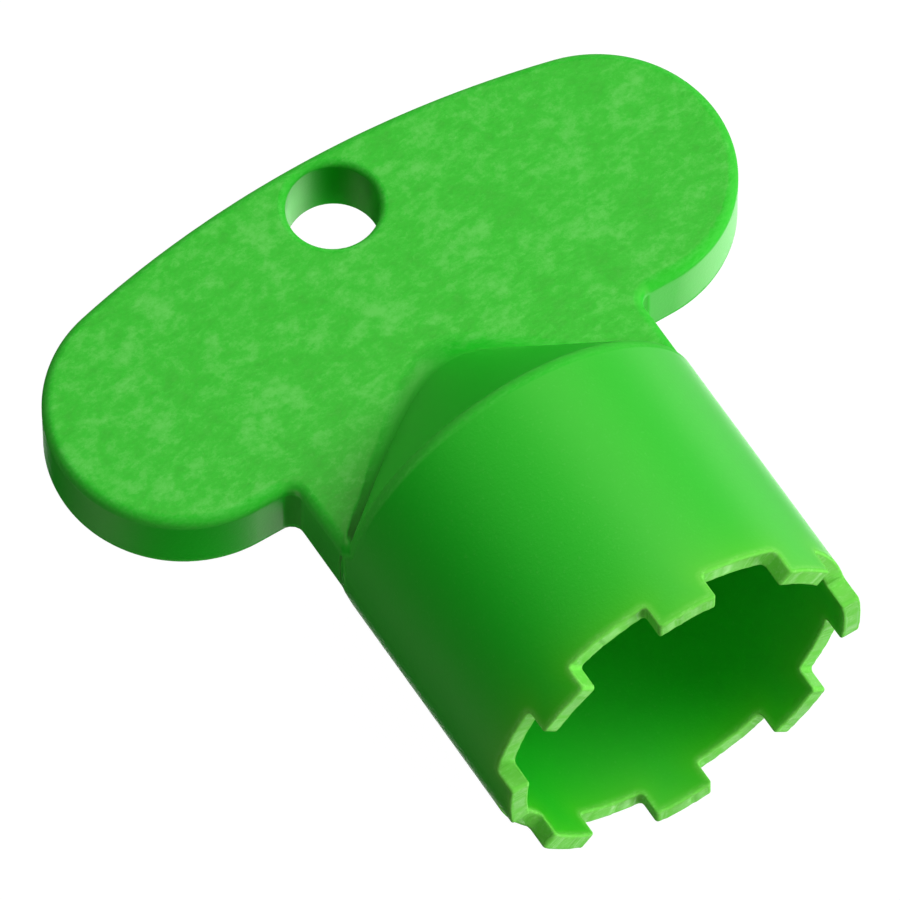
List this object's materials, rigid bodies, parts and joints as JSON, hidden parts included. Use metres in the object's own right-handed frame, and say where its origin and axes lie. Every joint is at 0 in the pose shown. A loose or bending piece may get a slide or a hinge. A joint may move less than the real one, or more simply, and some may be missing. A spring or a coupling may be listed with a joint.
{
  "type": "tap aerator key",
  "caption": "Moulded plastic socket key: a toothed, hollow barrel with a closed conical end on a flat, lobed bow, for turning a recessed tap aerator.",
  "frame": {"origin": "on the socket's axis, in the plane of the tooth tips", "axes": "+Y along the socket's axis from the tooth tips to the bow, +X across the bow from lobe to lobe, +Z square to the bow's flat face"},
  "size_m": [0.0412, 0.0383, 0.022],
  "materials": {
    "green_plastic": "satin"
  },
  "bodies": {
    "root": {"grip_plate": "green_plastic", "crown": "green_plastic", "barrel": "green_plastic", "tooth_1": "green_plastic", "tooth_2": "green_plastic", "tooth_3": "green_plastic", "tooth_4": "green_plastic", "tooth_5": "green_plastic", "tooth_6": "green_plastic", "tooth_7": "green_plastic", "tooth_8": "green_plastic"}
  },
  "joints": []
}
